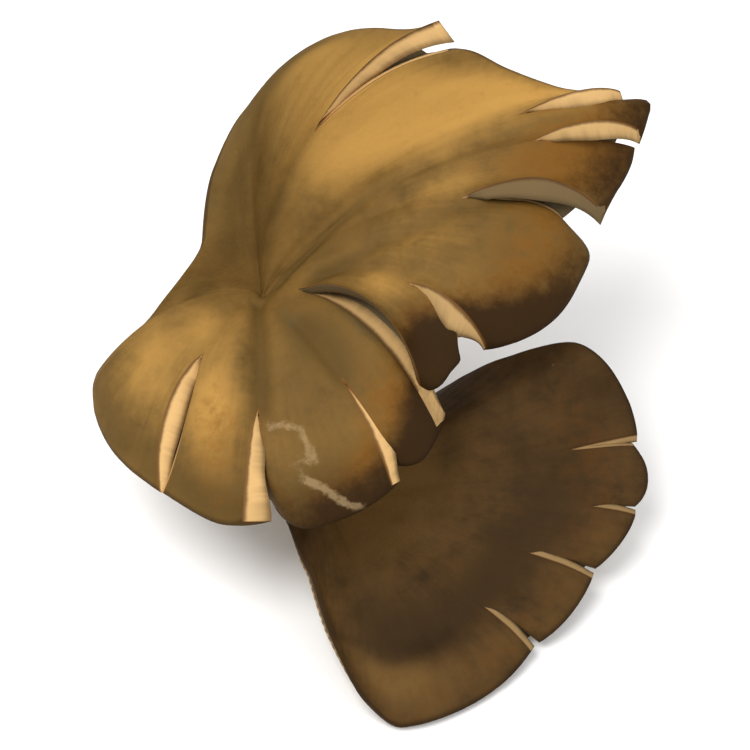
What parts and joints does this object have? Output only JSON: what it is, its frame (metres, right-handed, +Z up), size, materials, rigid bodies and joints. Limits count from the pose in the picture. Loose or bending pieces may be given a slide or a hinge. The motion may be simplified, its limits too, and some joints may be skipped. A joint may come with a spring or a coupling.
{
  "type": "oyster mushroom cluster",
  "caption": "Freshly picked oyster mushroom cluster: a wide torn funnel cap over a smaller shell-shaped cap, with pale gills running down off-centre stems that share a cut butt.",
  "frame": {"origin": "middle of the butt's flat cut face, which lies on the table", "axes": "+X to the right and +Y away from the viewer as the cluster is seen from its front, +Z up from the cut face through the upper cap"},
  "size_m": [0.1116, 0.1138, 0.0803],
  "materials": {
    "upper_skin": "satin",
    "lower_skin": "satin",
    "pale_flesh": "matte"
  },
  "bodies": {
    "root": {"upper_cap": "upper_skin", "lower_cap": "lower_skin", "gills_and_stems": "pale_flesh"}
  },
  "joints": []
}
